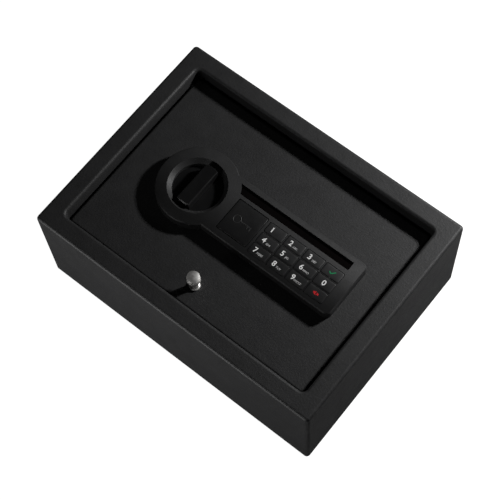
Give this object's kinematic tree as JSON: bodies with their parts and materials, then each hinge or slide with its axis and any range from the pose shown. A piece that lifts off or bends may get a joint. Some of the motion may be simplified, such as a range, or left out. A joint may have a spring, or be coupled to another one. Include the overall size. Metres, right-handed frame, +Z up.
{
  "type": "compact electronic safe",
  "caption": "Compact steel safe lying on its back, with a recessed hinged lid, an electronic keypad lock, a turn knob that drives two bolts, and a small pull knob.",
  "frame": {"origin": "centre of the base's underside", "axes": "+X along the long side, to the right of the keypad; +Y to the lid's hinges; +Z up, out of the lid"},
  "size_m": [0.298, 0.219, 0.118],
  "materials": {
    "black_coat": "fine satin powder coat",
    "black_plastic": "fine spark-textured",
    "key_rubber": "soft matte",
    "smoked_plastic": "glossy",
    "lamp_plastic": "diffused",
    "mat_foam": "fine open foam",
    "polished_metal": "bright plated",
    "bright_steel": "turned",
    "zinc_steel": "zinc plated",
    "brass": "turned",
    "board_green": "solder mask",
    "ribbon_grey": "satin",
    "coil_tape": "taped winding",
    "cell_sleeve": "glossy sleeve"
  },
  "bodies": {
    "body": {"front_rear_walls": "black_coat", "side_walls": "black_coat", "rim_frame": "black_coat", "base_plate": "black_coat", "floor_mat": "mat_foam", "hinge_bracket_left": "zinc_steel", "hinge_bracket_right": "zinc_steel", "lid_rests": "zinc_steel"},
    "lid": {"lid_panel": "black_coat", "hinge_pins": "zinc_steel", "pull_knob": "polished_metal", "pull_knob_screw": "zinc_steel", "lock_housing": "black_plastic", "lock_screws": "zinc_steel", "led_window": "smoked_plastic", "status_leds": "lamp_plastic", "keypad_board": "board_green", "contact_domes": "zinc_steel", "keypad_ribbon": "ribbon_grey", "key_cylinder": "polished_metal", "cylinder_nut": "zinc_steel", "spindle_bush": "brass", "guide_studs": "zinc_steel", "guide_washers": "zinc_steel", "guide_nuts": "zinc_steel", "solenoid_frame": "zinc_steel", "solenoid_coil": "coil_tape", "plunger_spring": "bright_steel", "control_board": "board_green", "inner_cover": "black_plastic", "cover_standoffs": "zinc_steel", "cover_screws": "zinc_steel", "batteries": "cell_sleeve", "battery_contacts": "bright_steel"},
    "knob": {"turn_knob": "black_plastic", "knob_spindle": "zinc_steel", "knob_screw": "zinc_steel", "crank": "zinc_steel"},
    "bolt_work": {"bolt_carriage": "zinc_steel", "locking_bolts": "bright_steel"},
    "plunger": {"solenoid_plunger": "bright_steel"},
    "plug": {"key_plug": "brass", "release_cam": "zinc_steel"},
    "cover": {"key_cover": "black_plastic"},
    "door": {"battery_door": "black_plastic"},
    "press_key_1": {"key_1": "key_rubber"},
    "press_key_2": {"key_2": "key_rubber"},
    "press_key_3": {"key_3": "key_rubber"},
    "press_key_enter": {"key_enter": "key_rubber"},
    "press_key_4": {"key_4": "key_rubber"},
    "press_key_5": {"key_5": "key_rubber"},
    "press_key_6": {"key_6": "key_rubber"},
    "press_key_0": {"key_0": "key_rubber"},
    "press_key_7": {"key_7": "key_rubber"},
    "press_key_8": {"key_8": "key_rubber"},
    "press_key_9": {"key_9": "key_rubber"},
    "press_key_mute": {"key_mute": "key_rubber"}
  },
  "joints": [
    {"name": "lid_hinge", "type": "hinge", "parent": "body", "child": "lid", "pos_m": [0, 0.082, 0.091], "axis": [-1, 0, 0], "range_deg": [0, 95]},
    {"name": "knob_turn", "type": "hinge", "parent": "lid", "child": "knob", "pos_m": [-0.058, 0.0015, 0.1], "axis": [0, 0, -1], "range_deg": [0, 90]},
    {"name": "bolt_slide", "type": "slide", "parent": "lid", "child": "bolt_work", "axis": [0, -1, 0], "range_m": [0, 0.01415]},
    {"name": "plunger_slide", "type": "slide", "parent": "lid", "child": "plunger", "axis": [-1, 0, 0], "range_m": [0, 0.005]},
    {"name": "plug_turn", "type": "hinge", "parent": "lid", "child": "plug", "pos_m": [-0.00445, -0.00255, 0.09], "axis": [0, 0, -1], "range_deg": [0, 90]},
    {"name": "cover_lift", "type": "slide", "parent": "lid", "child": "cover", "axis": [0, 0, 1], "range_m": [0, 0.015]},
    {"name": "door_lift", "type": "slide", "parent": "lid", "child": "door", "axis": [0, 0, -1], "range_m": [0, 0.02]},
    {"name": "press_key_1", "type": "slide", "parent": "lid", "child": "press_key_1", "axis": [0, 0, -1], "range_m": [0, 0.0012], "stiffness_N_per_m": 800},
    {"name": "press_key_2", "type": "slide", "parent": "lid", "child": "press_key_2", "axis": [0, 0, -1], "range_m": [0, 0.0012], "stiffness_N_per_m": 800},
    {"name": "press_key_3", "type": "slide", "parent": "lid", "child": "press_key_3", "axis": [0, 0, -1], "range_m": [0, 0.0012], "stiffness_N_per_m": 800},
    {"name": "press_key_enter", "type": "slide", "parent": "lid", "child": "press_key_enter", "axis": [0, 0, -1], "range_m": [0, 0.0012], "stiffness_N_per_m": 800},
    {"name": "press_key_4", "type": "slide", "parent": "lid", "child": "press_key_4", "axis": [0, 0, -1], "range_m": [0, 0.0012], "stiffness_N_per_m": 800},
    {"name": "press_key_5", "type": "slide", "parent": "lid", "child": "press_key_5", "axis": [0, 0, -1], "range_m": [0, 0.0012], "stiffness_N_per_m": 800},
    {"name": "press_key_6", "type": "slide", "parent": "lid", "child": "press_key_6", "axis": [0, 0, -1], "range_m": [0, 0.0012], "stiffness_N_per_m": 800},
    {"name": "press_key_0", "type": "slide", "parent": "lid", "child": "press_key_0", "axis": [0, 0, -1], "range_m": [0, 0.0012], "stiffness_N_per_m": 800},
    {"name": "press_key_7", "type": "slide", "parent": "lid", "child": "press_key_7", "axis": [0, 0, -1], "range_m": [0, 0.0012], "stiffness_N_per_m": 800},
    {"name": "press_key_8", "type": "slide", "parent": "lid", "child": "press_key_8", "axis": [0, 0, -1], "range_m": [0, 0.0012], "stiffness_N_per_m": 800},
    {"name": "press_key_9", "type": "slide", "parent": "lid", "child": "press_key_9", "axis": [0, 0, -1], "range_m": [0, 0.0012], "stiffness_N_per_m": 800},
    {"name": "press_key_mute", "type": "slide", "parent": "lid", "child": "press_key_mute", "axis": [0, 0, -1], "range_m": [0, 0.0012], "stiffness_N_per_m": 800}
  ],
  "couplings": [
    {"joint": "knob_turn", "follows": "bolt_slide", "rad_per_m": 111.01}
  ]
}
